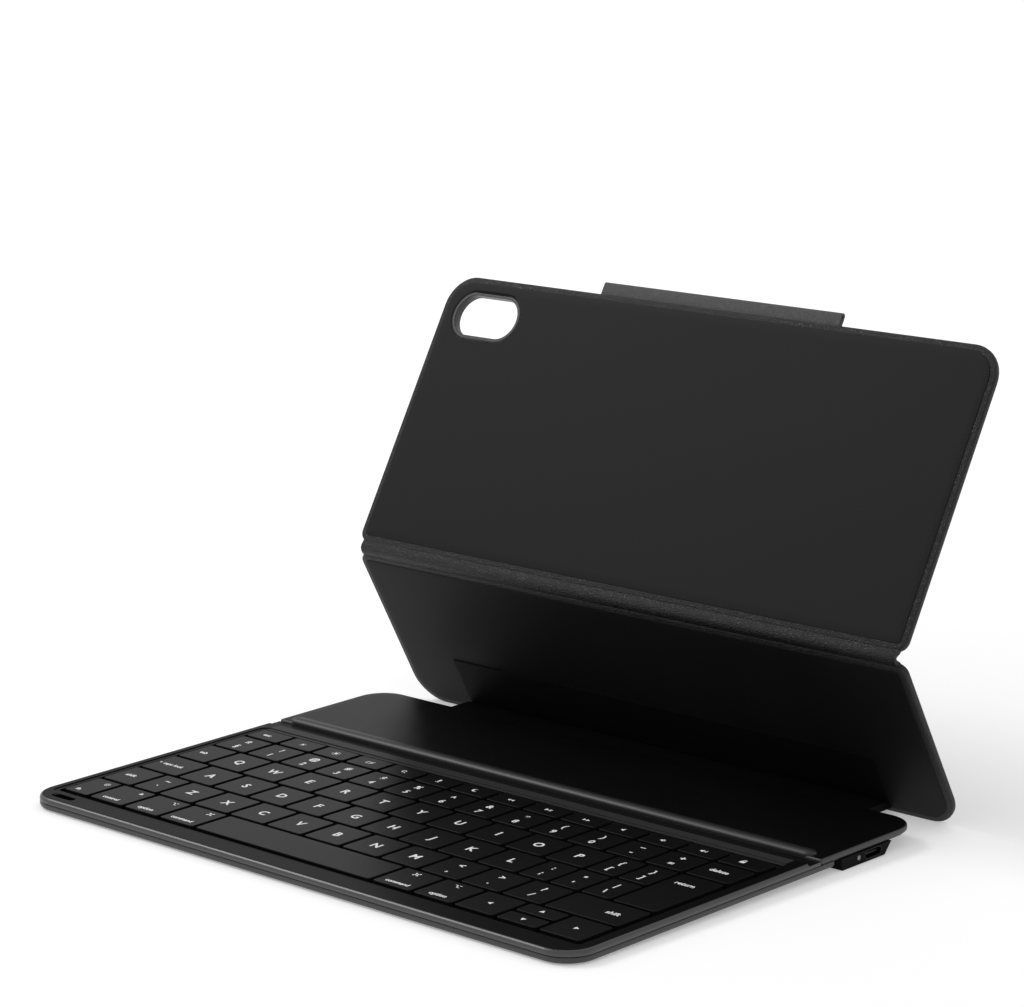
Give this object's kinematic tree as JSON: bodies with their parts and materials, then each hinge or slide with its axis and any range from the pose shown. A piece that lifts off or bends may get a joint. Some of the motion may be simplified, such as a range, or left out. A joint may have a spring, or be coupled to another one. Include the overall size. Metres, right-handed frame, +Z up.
{
  "type": "tablet keyboard case",
  "caption": "Folio case for a tablet: keyboard deck with sprung keys, hinge spine, two-panel folding cover that stands the tablet up, camera window and clasp flap.",
  "frame": {"origin": "centre of the bounding box on the surface that the case stands on", "axes": "+Z up, +Y to the rear, away from the person typing, +X to their right"},
  "size_m": [0.25, 0.2182, 0.1613],
  "materials": {
    "keycap_plastic": "fine matt with printed white legends",
    "deck_plastic": "fine matt",
    "inner_plastic": "matt black",
    "cover_leather": "fine-grained polyurethane leather",
    "clasp_leather": "lighter grey fine-grained leather",
    "lining_microfibre": "short microfibre pile",
    "stiffener_board": "fibre board",
    "steel": "satin",
    "rubber": "matt",
    "circuit_board": "solder mask",
    "battery_foil": "foil pouch",
    "magnet_metal": "nickel plated",
    "light_window": "smoked lens",
    "rim_plastic": "satin rim"
  },
  "bodies": {
    "deck": {"keyboard_outer_cover": "cover_leather", "keyboard_bottom_tray": "inner_plastic", "key_support_plate": "steel", "keyboard_top_frame": "deck_plastic", "indicator_window": "light_window", "tray_screws": "steel", "rubber_feet": "rubber", "deck_magnets": "magnet_metal", "key_scissors": "inner_plastic", "rubber_domes": "rubber", "key_membrane": "inner_plastic", "platform_board": "stiffener_board", "platform_leather": "cover_leather", "screen_ridge": "deck_plastic", "port_bar_housing": "deck_plastic", "usb_c_receptacle": "steel", "status_led": "light_window", "main_circuit_board": "circuit_board", "battery_cells": "battery_foil", "hinge_mount_block": "inner_plastic", "deck_hinge_strip": "cover_leather"},
    "spine": {"spine_strip": "cover_leather", "spine_bar": "deck_plastic"},
    "lower_panel": {"lower_panel_lining": "lining_microfibre", "lower_panel_board": "stiffener_board", "lower_panel_leather": "cover_leather", "hinge_flap": "cover_leather", "fold_strip": "cover_leather"},
    "upper_panel": {"upper_panel_lining": "lining_microfibre", "upper_panel_board": "stiffener_board", "upper_panel_leather": "cover_leather", "tablet_magnets": "magnet_metal", "camera_bezel": "rim_plastic", "clasp_strip": "cover_leather"},
    "clasp": {"clasp_flap": "clasp_leather", "clasp_magnets": "magnet_metal"},
    "bottom_row_keys_body": {"bottom_row_keys": "keycap_plastic"},
    "function_row_keys_body": {"function_row_keys": "keycap_plastic"},
    "home_row_keys_body": {"home_row_keys": "keycap_plastic"},
    "key_arrow_down_body": {"key_arrow_down": "keycap_plastic"},
    "key_arrow_left_body": {"key_arrow_left": "keycap_plastic"},
    "key_arrow_right_body": {"key_arrow_right": "keycap_plastic"},
    "key_arrow_up_body": {"key_arrow_up": "keycap_plastic"},
    "key_caps_lock_body": {"key_caps_lock": "keycap_plastic"},
    "key_command_left_body": {"key_command_left": "keycap_plastic"},
    "key_command_right_body": {"key_command_right": "keycap_plastic"},
    "key_control_body": {"key_control": "keycap_plastic"},
    "key_delete_body": {"key_delete": "keycap_plastic"},
    "key_escape_body": {"key_escape": "keycap_plastic"},
    "key_fn_body": {"key_fn": "keycap_plastic"},
    "key_lock_body": {"key_lock": "keycap_plastic"},
    "key_option_left_body": {"key_option_left": "keycap_plastic"},
    "key_option_right_body": {"key_option_right": "keycap_plastic"},
    "key_return_body": {"key_return": "keycap_plastic"},
    "key_shift_left_body": {"key_shift_left": "keycap_plastic"},
    "key_shift_right_body": {"key_shift_right": "keycap_plastic"},
    "key_space_body": {"key_space": "keycap_plastic"},
    "key_tab_body": {"key_tab": "keycap_plastic"},
    "number_row_keys_body": {"number_row_keys": "keycap_plastic"},
    "top_row_keys_body": {"top_row_keys": "keycap_plastic"}
  },
  "joints": [
    {"name": "deck_to_spine_fold", "type": "hinge", "parent": "deck", "child": "spine", "pos_m": [0, 0.06492, 0.00151], "axis": [1, 0, 0], "range_deg": [0, 62.3]},
    {"name": "spine_to_cover_fold", "type": "hinge", "parent": "spine", "child": "lower_panel", "pos_m": [0, 0.08321, 0.00179], "axis": [1, 0, 0], "range_deg": [-60, 0]},
    {"name": "cover_middle_fold", "type": "hinge", "parent": "lower_panel", "child": "upper_panel", "pos_m": [0, 0.04939, 0.06388], "axis": [1, 0, 0], "range_deg": [-25, 58.1]},
    {"name": "clasp_fold", "type": "hinge", "parent": "upper_panel", "child": "clasp", "pos_m": [0, 0.10781, 0.16181], "axis": [1, 0, 0], "range_deg": [0, 270]},
    {"name": "bottom_row_keys_press", "type": "slide", "parent": "deck", "child": "bottom_row_keys_body", "axis": [0, 0.0155, -0.9999], "range_m": [0, 0.0009], "stiffness_N_per_m": 600, "springref_m": -0.0003},
    {"name": "function_row_keys_press", "type": "slide", "parent": "deck", "child": "function_row_keys_body", "axis": [0, 0.0155, -0.9999], "range_m": [0, 0.0009], "stiffness_N_per_m": 600, "springref_m": -0.0003},
    {"name": "home_row_keys_press", "type": "slide", "parent": "deck", "child": "home_row_keys_body", "axis": [0, 0.0155, -0.9999], "range_m": [0, 0.0009], "stiffness_N_per_m": 600, "springref_m": -0.0003},
    {"name": "key_arrow_down_press", "type": "slide", "parent": "deck", "child": "key_arrow_down_body", "axis": [0, 0.0155, -0.9999], "range_m": [0, 0.0009], "stiffness_N_per_m": 600, "springref_m": -0.0003},
    {"name": "key_arrow_left_press", "type": "slide", "parent": "deck", "child": "key_arrow_left_body", "axis": [0, 0.0155, -0.9999], "range_m": [0, 0.0009], "stiffness_N_per_m": 600, "springref_m": -0.0003},
    {"name": "key_arrow_right_press", "type": "slide", "parent": "deck", "child": "key_arrow_right_body", "axis": [0, 0.0155, -0.9999], "range_m": [0, 0.0009], "stiffness_N_per_m": 600, "springref_m": -0.0003},
    {"name": "key_arrow_up_press", "type": "slide", "parent": "deck", "child": "key_arrow_up_body", "axis": [0, 0.0155, -0.9999], "range_m": [0, 0.0009], "stiffness_N_per_m": 600, "springref_m": -0.0003},
    {"name": "key_caps_lock_press", "type": "slide", "parent": "deck", "child": "key_caps_lock_body", "axis": [0, 0.0155, -0.9999], "range_m": [0, 0.0009], "stiffness_N_per_m": 600, "springref_m": -0.0003},
    {"name": "key_command_left_press", "type": "slide", "parent": "deck", "child": "key_command_left_body", "axis": [0, 0.0155, -0.9999], "range_m": [0, 0.0009], "stiffness_N_per_m": 600, "springref_m": -0.0003},
    {"name": "key_command_right_press", "type": "slide", "parent": "deck", "child": "key_command_right_body", "axis": [0, 0.0155, -0.9999], "range_m": [0, 0.0009], "stiffness_N_per_m": 600, "springref_m": -0.0003},
    {"name": "key_control_press", "type": "slide", "parent": "deck", "child": "key_control_body", "axis": [0, 0.0155, -0.9999], "range_m": [0, 0.0009], "stiffness_N_per_m": 600, "springref_m": -0.0003},
    {"name": "key_delete_press", "type": "slide", "parent": "deck", "child": "key_delete_body", "axis": [0, 0.0155, -0.9999], "range_m": [0, 0.0009], "stiffness_N_per_m": 600, "springref_m": -0.0003},
    {"name": "key_escape_press", "type": "slide", "parent": "deck", "child": "key_escape_body", "axis": [0, 0.0155, -0.9999], "range_m": [0, 0.0009], "stiffness_N_per_m": 600, "springref_m": -0.0003},
    {"name": "key_fn_press", "type": "slide", "parent": "deck", "child": "key_fn_body", "axis": [0, 0.0155, -0.9999], "range_m": [0, 0.0009], "stiffness_N_per_m": 600, "springref_m": -0.0003},
    {"name": "key_lock_press", "type": "slide", "parent": "deck", "child": "key_lock_body", "axis": [0, 0.0155, -0.9999], "range_m": [0, 0.0009], "stiffness_N_per_m": 600, "springref_m": -0.0003},
    {"name": "key_option_left_press", "type": "slide", "parent": "deck", "child": "key_option_left_body", "axis": [0, 0.0155, -0.9999], "range_m": [0, 0.0009], "stiffness_N_per_m": 600, "springref_m": -0.0003},
    {"name": "key_option_right_press", "type": "slide", "parent": "deck", "child": "key_option_right_body", "axis": [0, 0.0155, -0.9999], "range_m": [0, 0.0009], "stiffness_N_per_m": 600, "springref_m": -0.0003},
    {"name": "key_return_press", "type": "slide", "parent": "deck", "child": "key_return_body", "axis": [0, 0.0155, -0.9999], "range_m": [0, 0.0009], "stiffness_N_per_m": 600, "springref_m": -0.0003},
    {"name": "key_shift_left_press", "type": "slide", "parent": "deck", "child": "key_shift_left_body", "axis": [0, 0.0155, -0.9999], "range_m": [0, 0.0009], "stiffness_N_per_m": 600, "springref_m": -0.0003},
    {"name": "key_shift_right_press", "type": "slide", "parent": "deck", "child": "key_shift_right_body", "axis": [0, 0.0155, -0.9999], "range_m": [0, 0.0009], "stiffness_N_per_m": 600, "springref_m": -0.0003},
    {"name": "key_space_press", "type": "slide", "parent": "deck", "child": "key_space_body", "axis": [0, 0.0155, -0.9999], "range_m": [0, 0.0009], "stiffness_N_per_m": 600, "springref_m": -0.0003},
    {"name": "key_tab_press", "type": "slide", "parent": "deck", "child": "key_tab_body", "axis": [0, 0.0155, -0.9999], "range_m": [0, 0.0009], "stiffness_N_per_m": 600, "springref_m": -0.0003},
    {"name": "number_row_keys_press", "type": "slide", "parent": "deck", "child": "number_row_keys_body", "axis": [0, 0.0155, -0.9999], "range_m": [0, 0.0009], "stiffness_N_per_m": 600, "springref_m": -0.0003},
    {"name": "top_row_keys_press", "type": "slide", "parent": "deck", "child": "top_row_keys_body", "axis": [0, 0.0155, -0.9999], "range_m": [0, 0.0009], "stiffness_N_per_m": 600, "springref_m": -0.0003}
  ]
}
